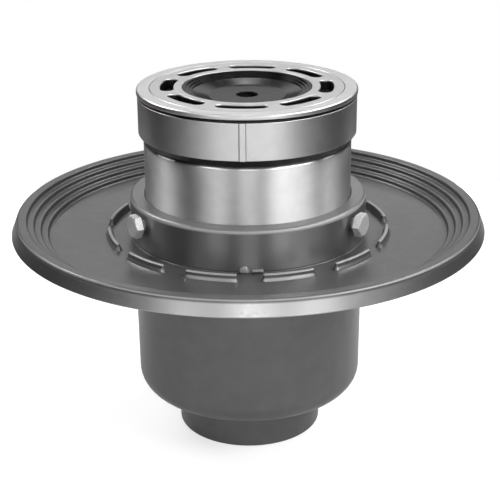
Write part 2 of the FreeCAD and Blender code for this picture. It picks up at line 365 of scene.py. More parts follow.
@dataclass(frozen=True)
class CoatedIron(Finish):
    """Graphite coat on sand-cast iron: a dark, metallic sheen that the sand grain breaks up."""

    pale: str = "#666666"
    swing: tuple[float, float] = (0.05, 0.07)
    cloud_mm: float = 8.0
    # Moulding sand is about 0.3 mm wide; it is drawn three times as coarse, so that it shows.
    sand_mm: float = 0.9
    sand_depth_mm: float = 0.024
    swell_mm: float = 7.0
    swell_depth_mm: float = 0.012

    def draw(self, tree: Tree, place: Socket, shader: Node) -> None:
        """Clouds the coat, breaks its sheen and raises the sand grain on a slow swell."""
        sand = self.grain(tree, place, self.sand_mm, detail=2.0)
        swell = self.grain(tree, place, self.swell_mm, detail=1.0)
        self.cloud(tree, shader, self.grain(tree, place, self.cloud_mm, detail=4.0))
        self.unsettle(tree, shader, sand)
        self.turn_lines(tree, shader)
        under = self.relief(tree, shader, swell, self.swell_depth_mm)
        self.relief(tree, shader, sand, self.sand_depth_mm, under)


@dataclass(frozen=True)
class TurnedNickel(Finish):
    """Satin nickel over a turned tube: fine lines round the tube stretch each reflection upright."""

    pale: str = "#e6e6e6"
    swing: tuple[float, float] = (0.015, 0.02)
    cloud_mm: float = 9.0
    # Real turning lines lie about 0.1 mm apart; these are coarser, so that they show.
    line_mm: float = 0.8
    line_depth_mm: float = 0.001
    line_squeeze: float = 0.02
    stretch: float = 0.95

    def draw(self, tree: Tree, place: Socket, shader: Node) -> None:
        """Clouds the plating and draws the turning lines."""
        squeeze = (self.line_squeeze, self.line_squeeze, 1.0)
        squeezed = add_node(tree, "ShaderNodeMapping", {"Vector": place, "Scale": squeeze})
        lines = self.grain(tree, squeezed.outputs["Vector"], self.line_mm, detail=2.0)
        self.cloud(tree, shader, self.grain(tree, place, self.cloud_mm, detail=3.0))
        self.unsettle(tree, shader, lines)
        shader.inputs["Anisotropic"].default_value = self.stretch
        self.turn_lines(tree, shader)
        self.relief(tree, shader, lines, self.line_depth_mm)


@dataclass(frozen=True)
class SatinNickel(Finish):
    """Satin nickel on a blasted face: even and pale, with a soft grain."""

    pale: str = "#d9d9d9"
    cloud_mm: float = 6.0
    # Blasting leaves pits of about 0.1 mm; they are drawn coarser, so that they show.
    grain_mm: float = 0.7
    grain_depth_mm: float = 0.006

    def draw(self, tree: Tree, place: Socket, shader: Node) -> None:
        """Clouds the plating and raises its blasted grain."""
        pits = self.grain(tree, place, self.grain_mm, detail=2.0)
        self.cloud(tree, shader, self.grain(tree, place, self.cloud_mm, detail=4.0))
        self.unsettle(tree, shader, pits)
        self.relief(tree, shader, pits, self.grain_depth_mm)


@dataclass(frozen=True)
class BrightZinc(Finish):
    """Bright zinc on pressed bolts: glittering, with a crystalline unevenness."""

    pale: str = "#d4d4d4"
    swing: tuple[float, float] = (0.08, 0.1)
    # The crystals are drawn about twice their real width, so that they show on a small head.
    crystal_mm: float = 0.9
    crystal_depth_mm: float = 0.1

    def draw(self, tree: Tree, place: Socket, shader: Node) -> None:
        """Breaks the zinc into small crystals of differing tone and slope."""
        cells = add_node(tree, "ShaderNodeTexVoronoi", {
            "Vector": place,
            "Scale": 1 / (self.crystal_mm * MM),
        })
        speck = self.grain(tree, place, self.crystal_mm, detail=2.0)
        self.cloud(tree, shader, speck)
        self.unsettle(tree, shader, speck)
        self.relief(tree, shader, cells.outputs["Distance"], self.crystal_depth_mm)


@dataclass(frozen=True)
class MouldedRubber(Finish):
    """Moulded rubber: nearly black, with a dull bloom and a slightly uneven sheen."""

    pale: str = "#1a1a1a"
    swing: tuple[float, float] = (0.03, 0.04)
    bloom_mm: float = 5.0
    # Pores are drawn a few times their real width, so that they show.
    pore_mm: float = 0.6
    pore_depth_mm: float = 0.006
    gloss: float = 0.1

    def draw(self, tree: Tree, place: Socket, shader: Node) -> None:
        """Adds the bloom, the uneven sheen and the pores."""
        bloom = self.grain(tree, place, self.bloom_mm, detail=3.0)
        self.cloud(tree, shader, bloom)
        self.unsettle(tree, shader, bloom)
        shader.inputs["Specular IOR Level"].default_value = self.gloss
        self.relief(tree, shader, self.grain(tree, place, self.pore_mm, detail=2.0), self.pore_depth_mm)


@dataclass(frozen=True)
class MouldedPlastic(Finish):
    """Moulded grey plastic: even, with flow clouds and a faint eroded texture."""

    pale: str = "#6a6a6a"
    swing: tuple[float, float] = (0.04, 0.06)
    cloud_mm: float = 18.0
    # The mould's eroded texture is drawn a few times its real width, so that it shows.
    texture_mm: float = 0.7
    texture_depth_mm: float = 0.012

    def draw(self, tree: Tree, place: Socket, shader: Node) -> None:
        """Adds the flow clouds and the mould's texture."""
        eroded = self.grain(tree, place, self.texture_mm, detail=2.0)
        self.cloud(tree, shader, self.grain(tree, place, self.cloud_mm, detail=3.0))
        self.unsettle(tree, shader, eroded)
        self.relief(tree, shader, eroded, self.texture_depth_mm)


# Casting: the lathed neck, the bare rim and floor ring, the neck's top land, then a paler tone on the
# rim's bead, the neck's lip and foot with its marks, and the rib tops, which is painted highlight.
CASTING_FACES = (
    Worked((Band(60.8, 64.0, 112.0, 132.0),), "#8c8c8c", metallic=0.95, roughness=0.35, stretch=0.9),
    Worked((Band(122.3, 130.0, 110.0, 130.0), Band(74.8, 77.0, 111.85, 113.5)), "#a4a4a4", metallic=0.95),
    Worked((Band(54.0, 61.7, 131.2, 140.0),), "#787878", metallic=0.4),
    # Paler tone on rounded edges, marks and rib tops: painted highlight.
    Worked((
        Band(121.6, 122.9, 122.3, 126.0),
        Band(61.6, 64.0, 131.2, 140.0),
        Band(62.55, 65.0, 111.7, 116.0),
        Band(71.5, 76.0, 114.7, 118.0),
    ), "#9a9a9a", metallic=0.4, roughness=0.5),
)
# Sleeve: its polished top edge.
SLEEVE_FACES = (Worked((Band(53.0, 55.0, 161.2, 163.0),), roughness=0.33),)
# Frame: painted shade, a dark colour on the undercut and in the groove, and the lip's smooth edge.
FRAME_FACES = (
    Worked((Band(50.5, 58.0, 162.0, 166.9), Band(50.0, 56.5, 185.5, 187.4)), "#2a2a2a"),
    Worked((Band(55.8, 58.0, 187.0, 191.0),), roughness=0.35, smooth=True),
)
# Plate: painted shade, a dark colour on the walls of the slots.
PLATE_FACES = (Worked((Band(35.0, 48.0, 180.0, 189.0),), "#484848"),)


@dataclass(frozen=True)
class Corner:
    """One corner of a turned section, in millimetres."""

    r: float
    z: float
    rounding: float = 0.0


def rounded(corners: Sequence[Corner], step_deg: float = 12.0, hold: float = 0.12) -> list[Point]:
    """Rounds a closed section's corners into short chords.

    Args:
        corners: Corners in order.
        step_deg: Largest turn between two chords.
        hold: Distance of the extra point that keeps a straight run flat next to a rounding.

    Returns:
        Radius and height of each point.
    """
    points: list[Point] = []
    count = len(corners)
    for i, corner in enumerate(corners):
        here = Vector((corner.r, corner.z))
        if corner.rounding <= 0:
            points.append((corner.r, corner.z))
            continue
        before, after = corners[i - 1], corners[(i + 1) % count]
        back = (Vector((before.r, before.z)) - here).normalized()
        ahead = (Vector((after.r, after.z)) - here).normalized()
        half = back.angle(ahead) / 2
        reach = corner.rounding / math.tan(half)
        centre = here + (back + ahead).normalized() * (corner.rounding / math.sin(half))
        first, last = here + back * reach - centre, here + ahead * reach - centre
        turn = first.angle_signed(last)
        steps = max(2, math.ceil(math.degrees(abs(turn)) / step_deg))
        points.append(tuple(centre + first + back * hold))
        for step in range(steps + 1):
            spoke = Matrix.Rotation(-turn * step / steps, 2) @ first
            points.append(tuple(centre + spoke))
        points.append(tuple(centre + last + ahead * hold))
    return points


def smooth(mesh: bpy.types.Mesh, sharp_deg: float = SHARP_DEG) -> None:
    """Shades a mesh smooth apart from its sharp edges."""
    mesh.shade_smooth()
    mesh.set_sharp_from_angle(angle=math.radians(sharp_deg))


def link_object(name: str, bm: BMesh, sharp_deg: float = SHARP_DEG) -> Object:
    """Turns a bmesh in metres into a smooth object.

    Args:
        name: Object's name.
        bm: Mesh, which is used up.
        sharp_deg: Angle from which an edge stays sharp.

    Returns:
        The linked object, at the origin.
    """
    mesh = bpy.data.meshes.new(name)
    bm.to_mesh(mesh)
    bm.free()
    smooth(mesh, sharp_deg)
    made = bpy.data.objects.new(name, mesh)
    bpy.context.scene.collection.objects.link(made)
    return made


def make_object(name: str, bm: BMesh) -> Object:
    """Closes a bmesh in millimetres and turns it into a smooth object in metres.

    Args:
        name: Object's name.
        bm: Mesh, which is used up.

    Returns:
        The linked object, at the origin.
    """
    bmesh.ops.remove_doubles(bm, verts=bm.verts, dist=WELD_MM)
    bmesh.ops.recalc_face_normals(bm, faces=bm.faces)
    bmesh.ops.scale(bm, vec=(MM, MM, MM), verts=bm.verts)
    return link_object(name, bm)


def blank(name: str) -> Object:
    """Empty mesh object that a node tree fills."""
    return make_object(name, bmesh.new())


def join(name: str, pieces: Sequence[Object], sharp_deg: float = SHARP_DEG) -> Object:
    """Joins meshes into one new object and removes the old ones.

    Args:
        name: New object's name.
        pieces: Objects at the origin.
        sharp_deg: Angle from which an edge stays sharp.

    Returns:
        The joined object.
    """
    bm = bmesh.new()
    for piece in pieces:
        bm.from_mesh(piece.data)
    made = link_object(name, bm, sharp_deg)
    for piece in pieces:
        bpy.data.objects.remove(piece)
    return made


def loft(bm: BMesh, rings: Sequence[Sequence[Vector]], loop: bool = False) -> None:
    """Skins a row of closed rings.

    Args:
        bm: Mesh that takes the skin.
        rings: Rings with as many points each.
        loop: Joins the last ring to the first, where otherwise both get caps.
    """
    rows = [[bm.verts.new(p) for p in ring] for ring in rings]
    pairs = list(zip(rows, rows[1:]))
    if loop:
        pairs.append((rows[-1], rows[0]))
    else:
        bm.faces.new(rows[0])
        bm.faces.new(rows[-1])
    for low, high in pairs:
        for i in range(len(low)):
            j = (i + 1) % len(low)
            bm.faces.new((low[i], low[j], high[j], high[i]))


def lofted(name: str, rings: Sequence[Sequence[Vector]]) -> Object:
    """Capped skin over a row of rings, as an object."""
    bm = bmesh.new()
    loft(bm, rings)
    return make_object(name, bm)


def round_at(radius: float, turn: float, z: float) -> Vector:
    """Point at a radius, a turn from the front in radians and a height."""
    return Vector((radius * math.sin(turn), -radius * math.cos(turn), z))


def circle(points: int, start: float = 0.0) -> list[float]:
    """Even angles round a circle, the first of them a share of a step on."""
    return [math.tau * (i + start) / points for i in range(points)]


def turned(name: str, corners: Sequence[Corner], segments: int = RING_SEGMENTS) -> Object:
    """Closed section turned about the vertical axis, as an object.

    Args:
        name: Object's name.
        corners: Closed section.
        segments: Flats round the ring.

    Returns:
        The object.
    """
    bm = bmesh.new()
    loft(bm, [[round_at(r, a, z) for a in circle(segments)] for r, z in rounded(corners)], loop=True)
    return make_object(name, bm)


def slot_ring(middle_r: float, half_turn: float, half_width: float, z: float) -> list[Vector]:
    """Curved slot outline with round ends, centred on the front.

    Args:
        middle_r: Radius of the slot's middle line.
        half_turn: Half the angle between the centres of its ends.
        half_width: Half its width.
        z: Height.

    Returns:
        Points in order round the outline.
    """
    arc, ends = 14, 10
    points = []
    for side in (1, -1):
        for i in range(arc + 1):
            points.append(round_at(middle_r + side * half_width, side * half_turn * (2 * i / arc - 1), z))
        for i in range(1, ends):
            bend = math.pi * i / ends
            along = half_width * math.sin(bend) / middle_r
            radius = middle_r + side * half_width * math.cos(bend)
            points.append(round_at(radius, side * (half_turn + along), z))
    return points


class ShapeTree:
    """Geometry node tree with named inputs that ends in plain mesh with a material."""

    def __init__(self, name: str, inputs: dict[str, str]) -> None:
        """Makes an empty tree.

        Args:
            name: Tree's name.
            inputs: Socket type by input name.
        """
        self.tree = bpy.data.node_groups.new(name, "GeometryNodeTree")
        self.keys: dict[str, str] = {}
        self.tree.interface.new_socket("Geometry", in_out="OUTPUT", socket_type="NodeSocketGeometry")
        sockets = {"Geometry": "NodeSocketGeometry", **inputs, "Finish": "NodeSocketMaterial"}
        for label, kind in sockets.items():
            socket = self.tree.interface.new_socket(label, in_out="INPUT", socket_type=kind)
            self.keys[label] = socket.identifier
        self.given = self.tree.nodes.new("NodeGroupInput").outputs

    def node(self, kind: str, inputs: Optional[dict[Any, Any]] = None, **settings: Any) -> Node:
        """Adds a node to this tree."""
        return add_node(self.tree, kind, inputs, **settings)

    def close(self, geometry: Socket) -> None:
        """Realises the result, gives it its finish and hands it out."""
        plain = self.node("GeometryNodeRealizeInstances", {"Geometry": geometry})
        dressed = self.node("GeometryNodeSetMaterial", {
            "Geometry": plain.outputs["Geometry"],
            "Material": self.given["Finish"],
        })
        self.node("NodeGroupOutput", {"Geometry": dressed.outputs["Geometry"]})

    def ring(self) -> Socket:
        """Copies of the input "Unit" at even turns about the vertical axis.

        Returns:
            The ring of copies as instances.
        """
        points = self.node("GeometryNodeMeshLine", {
            "Count": self.given["Count"],
            "Offset": (0.0, 0.0, 0.0),
        })
        pitch = self.node("ShaderNodeMath", {0: math.tau, 1: self.given["Count"]}, operation="DIVIDE")
        index = self.node("GeometryNodeInputIndex")
        angle = self.node("ShaderNodeMath", {
            0: index.outputs["Index"],
            1: pitch.outputs["Value"],
            2: self.given["Turn"],
        }, operation="MULTIPLY_ADD")
        spin = self.node("ShaderNodeCombineXYZ", {"Z": angle.outputs["Value"]})
        unit = self.node("GeometryNodeObjectInfo", {"Object": self.given["Unit"]})
        copies = self.node("GeometryNodeInstanceOnPoints", {
            "Points": points.outputs["Mesh"],
            "Instance": unit.outputs["Geometry"],
            "Rotation": spin.outputs["Vector"],
        })
        return copies.outputs["Instances"]

    def shape(self, piece: Object, values: dict[str, Any], sharp_deg: float = SHARP_DEG) -> Object:
        """Runs the tree on a piece and keeps the result as its plain mesh.

        Args:
            piece: Object whose mesh is the tree's geometry.
            values: Input values by name.
            sharp_deg: Angle from which an edge stays sharp.

        Returns:
            The same object with its new mesh.
        """
        modifier = piece.modifiers.new("shape", "NODES")
        modifier.node_group = self.tree
        for label, value in values.items():
            modifier[self.keys[label]] = value
        graph = bpy.context.evaluated_depsgraph_get()
        mesh = bpy.data.meshes.new_from_object(piece.evaluated_get(graph), depsgraph=graph)
        piece.modifiers.remove(modifier)
        old = piece.data
        piece.data = mesh
        bpy.data.meshes.remove(old)
        smooth(mesh, sharp_deg)
        return piece


@dataclass
class Trees:
    """The three node trees that the sub-assemblies share."""

    ring: ShapeTree = field(init=False)
    cut: ShapeTree = field(init=False)
    thread: ShapeTree = field(init=False)

    def __post_init__(self) -> None:
        """Builds the trees."""
        around = {"Unit": "NodeSocketObject", "Count": "NodeSocketInt", "Turn": "NodeSocketFloat"}
        self.ring = ShapeTree("ring_of_copies", around)
        self.ring.close(self.ring.ring())
        self.cut = ShapeTree("ring_of_cuts", around)
        tools = self.cut.node("GeometryNodeRealizeInstances", {"Geometry": self.cut.ring()})
        cut = self.cut.node("GeometryNodeMeshBoolean", {
            "Mesh 1": self.cut.given["Geometry"],
            "Mesh 2": tools.outputs["Geometry"],
        }, operation="DIFFERENCE", solver="EXACT")
        self.cut.close(cut.outputs["Mesh"])
        self.thread = self.thread_tree()

    @staticmethod
    def thread_tree() -> ShapeTree:
        """Tree that sweeps a sharp ridge along a helix.

        Returns:
            The tree.
        """
        sizes = ("Radius", "Height", "Turns", "Depth", "Foot")
        made = ShapeTree("thread_ridge", {size: "NodeSocketFloat" for size in sizes})
        helix = made.node("GeometryNodeCurveSpiral", {
            "Resolution": HELIX_POINTS,
            "Rotations": made.given["Turns"],
            "Start Radius": made.given["Radius"],
            "End Radius": made.given["Radius"],
            "Height": made.given["Height"],
        })
        upright = made.node("GeometryNodeSetCurveNormal", {"Curve": helix.outputs["Curve"]}, mode="Z_UP")
        ridge = made.node("GeometryNodeCurvePrimitiveCircle", {
            "Resolution": RIDGE_POINTS,
            "Radius": made.given["Depth"],
        })
        swept = made.node("GeometryNodeCurveToMesh", {
            "Curve": upright.outputs["Curve"],
            "Profile Curve": ridge.outputs["Curve"],
            "Fill Caps": True,
        })
        lift = made.node("ShaderNodeCombineXYZ", {"Z": made.given["Foot"]})
        placed = made.node("GeometryNodeTransform", {
            "Geometry": swept.outputs["Mesh"],
            "Translation": lift.outputs["Vector"],
        })
        made.close(placed.outputs["Geometry"])
        return made


@dataclass
class Part(ABC):
    """Sub-assembly with one finish and the node trees at hand."""

    trees: Trees
    finish: Material

    @abstractmethod
    def build(self) -> None:
        """Builds the meshes and dresses them."""

    def around(self, tree: ShapeTree, piece: Object, unit: Object, count: int, turn_deg: float,
               sharp_deg: float = SHARP_DEG) -> Object:
        """Adds a ring of units to a blank piece, or cuts it out of a piece.

        Args:
            tree: The tree that adds or cuts.
            piece: Blank or finished object.
            unit: One unit, at the front.
            count: Units round the ring.
            turn_deg: Turn of the first one.
            sharp_deg: Angle from which an edge stays sharp.

        Returns:
            The piece.
        """
        return tree.shape(piece, {
            "Unit": unit,
            "Count": count,
            "Turn": math.radians(turn_deg),
            "Finish": self.finish,
        }, sharp_deg)

    def thread(self, name: str, radius: float, foot: float, length: float, turns: float,
               depth: float) -> Object:
        """Thread ridge about the vertical axis, in millimetres.

        Args:
            name: Object's name.
            radius: Radius of the ridge's middle line.
            foot: Height at which it starts.
            length: Height that it climbs.
            turns: How often it goes round.
            depth: How far it stands out.

        Returns:
            The ridge.
        """
        return self.trees.thread.shape(blank(name), {
            "Radius": radius * MM,
            "Height": length * MM,
            "Turns": turns,
            "Depth": depth * MM,
            "Foot": foot * MM,
            "Finish": self.finish,
        })

    def dress(self, piece: Object, body: Body, slot: Slot, node: Optional[str] = None) -> None:
        """Gives a piece its finish, its body and the solid that it stands for.

        Args:
            piece: Finished object.
            body: Body that it moves with.
            slot: Material slot of the record; not used.
            node: Solid that it replaces.
        """
        piece.data.materials.clear()
        piece.data.materials.append(self.finish)
        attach(piece, body.value)
        if node is not None:
            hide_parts(node)
        LOG.info("%s: %d faces on %s", piece.name, len(piece.data.polygons), body.value)


@dataclass
class Casting(Part):
    """Iron casting: outlet socket, chamber, standpipe, stepped flange, neck, ribs and marks."""

    flange_r: float = 125.0
    rim_top_r: float = 121.7
    rim_top: float = 123.4
    rim_bottom: float = 115.2
    rim_foot: float = 1.2
    rim_foot_edge: float = 0.4
    rim_edge: float = 0.5
    rim_round: float = 1.2
    step_r: float = 116.6
    step_run: float = 3.6
    step_drop: float = 2.6
    step_count: int = 4
    step_edge: float = 0.7
    step_fillet: float = 0.9
    floor_inner: float = 111.2
    underside: float = 105.2
    underside_r: float = 99.8
    underside_fillet: float = 6.0
    underside_sweep: float = 8.0
    neck_r: float = 62.3
    neck_top: float = 133.4
    neck_fillet: float = 0.5
    neck_round: float = 1.8
    neck_bore_r: float = 54.4
    neck_bore_foot: float = 75.0
    bore_chamfer: float = 0.5
    bore_edge: float = 0.3
    chamber_r: float = 61.0
    chamber_base_r: float = 60.4
    chamber_base: float = 23.3
    chamber_round: float = 11.0
    well_r: float = 53.0
    well_floor: float = 29.0
    well_fillet: float = 5.0
    standpipe_r: float = 31.0
    standpipe_bore_r: float = 26.5
    weir: float = 88.0
    weir_edge: float = 1.0
    socket_r: float = 38.8
    socket_top: float = 22.5
    socket_edge: float = 1.2
    socket_fillet: float = 1.6
    socket_bore_r: float = 29.8
    socket_depth: float = 20.0
    mouth_chamfer: float = 1.5
    thread_r: float = 29.9
    thread_foot: float = 2.8
    thread_length: float = 16.2
    thread_turns: float = 7.0
    thread_depth: float = 1.0
    bolt_z: float = 125.2
    bolt_hole_r: float = 3.25
    bolt_count: int = 3
    bolt_turn_deg: float = -60.0
    tool_start: float = 50.0
    tool_end: float = 3.0
    countersink: float = 1.2
    countersink_depth: float = 0.5
    rib_r: float = 73.75
    rib_half_width: float = 1.1
    rib_half_turn_deg: float = 9.3
    rib_count: int = 12
    rib_turn_deg: float = 15.6
    rib_sharp_deg: float = 60.0
    # Height over the floor and growth of the half width, from the flared foot to the rounded top.
    rib_levels: tuple[Point, ...] = (
        (-1.0, 1.12), (0.45, 1.08), (0.6, 0.98), (0.72, 0.93), (2.2, 0.27), (2.32, 0.21), (2.55, 0.12),
        (2.8, 0.06), (3.4, -0.04), (3.75, -0.14), (4.0, -0.32), (4.14, -0.56), (4.2, -0.8),
    )
    mark_z: float = 112.3
    mark_proud: float = 1.2
    pip_turn_deg: float = -2.0
    pip_r: float = 2.5
    pip_points: int = 28
    # Share of the pip's radius and share of its height.
    pip_levels: tuple[Point, ...] = (
        (1.12, -1.0), (1.1, 0.1), (1.0, 0.45), (0.92, 0.72), (0.75, 0.9), (0.45, 1.0),
    )
    bar_turn_deg: float = 4.2
    bar_half_length: float = 2.9
    bar_half_width: float = 0.75
    # Growth of the bar's half width and share of its height.
    bar_levels: tuple[Point, ...] = ((0.25, -1.0), (0.22, 0.1), (0.0, 0.5), (-0.2, 0.85), (-0.45, 1.0))

    def section(self) -> list[Corner]:
        """Whole turned section of the casting, with its cast radii.

        Returns:
            Corners in order.
        """
        corners = [
            Corner(self.socket_bore_r + self.mouth_chamfer, 0.0),
            Corner(self.socket_r, 0.0, self.socket_edge),
            Corner(self.socket_r, self.socket_top, self.socket_fillet),
            Corner(self.chamber_base_r, self.chamber_base, self.chamber_round),
            Corner(self.chamber_r, self.underside, self.underside_fillet),
            Corner(self.underside_r, self.underside, self.underside_sweep),
            Corner(self.flange_r - self.rim_foot, self.rim_bottom, self.rim_foot_edge),
            Corner(self.flange_r, self.rim_bottom, self.rim_edge),
            Corner(self.rim_top_r, self.rim_top, self.rim_round),
        ]
        for step in range(self.step_count):
            r = self.step_r - step * self.step_run
            z = self.rim_top - step * self.step_drop
            corners.append(Corner(r, z, self.step_edge))
            corners.append(Corner(r, z - self.step_drop, self.step_fillet))
        corners += [
            Corner(self.neck_r, self.floor_inner, self.neck_fillet),
            Corner(self.neck_r, self.neck_top, self.neck_round),
            Corner(self.neck_bore_r + self.bore_chamfer, self.neck_top, self.bore_edge),
            Corner(self.neck_bore_r, self.neck_top - self.bore_chamfer),
            Corner(self.neck_bore_r, self.neck_bore_foot),
            Corner(self.well_r, self.neck_bore_foot),
            Corner(self.well_r, self.well_floor, self.well_fillet),
            Corner(self.standpipe_r, self.well_floor, self.well_fillet),
            Corner(self.standpipe_r, self.weir, self.weir_edge),
            Corner(self.standpipe_bore_r, self.weir, self.weir_edge),
            Corner(self.standpipe_bore_r, self.socket_depth),
            Corner(self.socket_bore_r, self.socket_depth),
            Corner(self.socket_bore_r, self.mouth_chamfer),
        ]
        return corners

    def bolt_cutter(self) -> Object:
        """Round tool with a small countersink that opens a bolt hole at the front.

        Returns:
            The tool.
        """
        sink = self.neck_r - self.countersink_depth
        reach = (
            (self.tool_start, 0.0),
            (sink, 0.0),
            (sink + self.countersink, self.countersink),
            (self.neck_r + self.tool_end, self.countersink),
        )
        rings = []
        for r, flare in reach:
            wide = self.bolt_hole_r + flare
            rings.append([
                Vector((wide * math.sin(a), -r, self.bolt_z + wide * math.cos(a)))
                for a in circle(HOLE_POINTS)
            ])
        return lofted("bolt_cutter", rings)

    def rib(self) -> Object:
        """One short curved rib with a flared foot and a rounded top, at the front.

        Returns:
            The rib.
        """
        half_turn = math.radians(self.rib_half_turn_deg)
        return lofted("rib", [
            slot_ring(self.rib_r, half_turn, self.rib_half_width + out, self.floor_inner + z)
            for z, out in self.rib_levels
        ])

    def mark(self, name: str, turn_deg: float, flat: float, levels: Sequence[Point],
             angles: Sequence[float]) -> Object:
        """Cast mark on the foot of the neck, round or drawn out along the neck.

        Args:
            name: Object's name.
            turn_deg: Turn from the front.
            flat: Half the length of its straight sides.
            levels: Half width and share of the height of each ring.
            angles: Angles of each ring's points.

        Returns:
            The mark.
        """
        rings = []
        for wide, out in levels:
            ring = []
            for a in angles:
                along = wide * math.cos(a) + math.copysign(flat, math.cos(a))
                side = math.radians(turn_deg) + along / self.neck_r
                radius = self.neck_r + self.mark_proud * out
                ring.append(round_at(radius, side, self.mark_z + wide * math.sin(a)))
            rings.append(ring)
        return lofted(name, rings)

    def marks(self) -> list[Object]:
        """Round pip and short bar.

        Returns:
            Both marks.
        """
        pip = [(self.pip_r * share, out) for share, out in self.pip_levels]
        bar = [(self.bar_half_width + grow, out) for grow, out in self.bar_levels]
        flat = self.bar_half_length - self.bar_half_width
        return [
            self.mark("pip", self.pip_turn_deg, 0.0, pip, circle(self.pip_points)),
            self.mark("bar", self.bar_turn_deg, flat, bar, circle(HOLE_POINTS, 0.5)),
        ]

    def build(self) -> None:
        """Makes the casting as one piece, and the thread in its socket."""
        body = turned("casting_body", self.section(), WIDE_SEGMENTS)
        cutter = self.bolt_cutter()
        self.around(self.trees.cut, body, cutter, self.bolt_count, self.bolt_turn_deg)
        rib = self.rib()
        ribs = self.around(
            self.trees.ring, blank("ribs"), rib, self.rib_count, self.rib_turn_deg, self.rib_sharp_deg)
        bpy.data.objects.remove(cutter)
        bpy.data.objects.remove(rib)
        self.dress(join("casting", [body, ribs, *self.marks()]), Body.TRAP, Slot.IRON, "trap_body")
        thread = self.thread(
            "socket_thread", self.thread_r, self.thread_foot, self.thread_length,
            self.thread_turns, self.thread_depth)
        self.dress(thread, Body.TRAP, Slot.IRON)


@dataclass
class SetBolts(Part):
    """Three hexagon-head bolts round the neck."""

    turns: tuple[tuple[Body, float], ...] = (
        (Body.BOLT_LEFT, -60.0),
        (Body.BOLT_RIGHT, 60.0),
        (Body.BOLT_BACK, 180.0),
    )
    z: float = 125.2
    tip_r: float = 54.4
    tip_chamfer: float = 0.5
    tip_length: float = 0.6
    head_r: float = 64.0
    head_thickness: float = 4.4
    head_points: int = 96
    flats: float = 11.0
    crown_share: float = 0.93
    crown_slope_deg: float = 30.0
    washer_share: float = 0.95
    washer_height: float = 0.35
    dish_share: float = 0.72
    dish_depth: float = 0.02
    shank_r: float = 3.2
    shank_overlap: float = 1.0
    thread_depth: float = 0.5
    thread_start: float = 1.0
    thread_short: float = 1.4
    pitch: float = 1.25
    sharp_deg: float = 30.0

    def head_rings(self) -> list[list[Vector]]:
        """Rings of the hexagon head along its axis, with the turned crown's curved edge.

        Returns:
            Rings in the bolt's own frame, where Z runs out of the neck.
        """
        under, inner, outer, crown = [], [], [], []
        half = self.flats / 2
        crown_r = half * self.crown_share
        top = self.head_thickness
        slope = math.tan(math.radians(self.crown_slope_deg))
        for a in circle(self.head_points):
            hexagon = half / math.cos((a + math.pi / 6) % (math.pi / 3) - math.pi / 6)
            edge = top - (hexagon - crown_r) * slope
            unit = Vector((math.sin(a), math.cos(a), 0.0))
            under.append(unit * (half * self.washer_share))
            inner.append(unit * hexagon + Vector((0, 0, self.washer_height)))
            outer.append(unit * hexagon + Vector((0, 0, edge)))
            crown.append(unit * crown_r + Vector((0, 0, top)))
        share, floor = self.dish_share, top - self.dish_depth
        dish = [Vector((p.x * share, p.y * share, floor)) for p in crown]
        return [under, inner, outer, crown, dish]

    def unit(self) -> Object:
        """Whole bolt at the front, lying along its hole.

        Returns:
            The bolt.
        """
        bm = bmesh.new()
        loft(bm, [[p + Vector((0, 0, self.head_r)) for p in ring] for ring in self.head_rings()])
        root = self.shank_r - self.thread_depth
        shank = (
            (self.tip_r, root - self.tip_chamfer),
            (self.tip_r + self.tip_length, root),
            (self.head_r + self.shank_overlap, root),
        )
        angles = circle(HOLE_POINTS)
        loft(bm, [[Vector((r * math.cos(a), r * math.sin(a), z)) for a in angles] for z, r in shank])
        body = make_object("bolt_body", bm)
        length = self.head_r - self.tip_r - self.thread_short
        foot = self.tip_r + self.thread_start
        thread = self.thread("bolt_thread", root, foot, length, length / self.pitch, self.thread_depth)
        bolt = join("bolt_unit", [body, thread], self.sharp_deg)
        lift = Matrix.Translation((0, 0, self.z * MM))
        bolt.data.transform(lift @ Matrix.Rotation(math.radians(90), 4, "X"))
        return bolt

    def build(self) -> None:
        """Places one bolt for each body."""
        unit = self.unit()
        for body, turn_deg in self.turns:
            piece = blank("hex_" + body.value)
            bolt = self.around(self.trees.ring, piece, unit, 1, turn_deg, self.sharp_deg)
            self.dress(bolt, body, Slot.BOLT, "set_" + body.value)
        bpy.data.objects.remove(unit)


@dataclass
class Sleeve(Part):
    """Plated tube that slides in the neck."""

    outer_r: float = 54.1
    inner_r: float = 50.6
    bottom: float = 103.0
    top: float = 162.3
    outer_edge: float = 0.9
    inner_edge: float = 0.3

    def build(self) -> None:
        """Turns the tube with softened ends."""
        tube = turned("sleeve_tube", [
            Corner(self.inner_r, self.bottom, self.inner_edge),
            Corner(self.outer_r, self.bottom, self.outer_edge),
            Corner(self.outer_r, self.top, self.outer_edge),
            Corner(self.inner_r, self.top, self.inner_edge),
        ], WIDE_SEGMENTS)
        self.dress(tube, Body.SLEEVE, Slot.SLEEVE, "adjusting_sleeve")


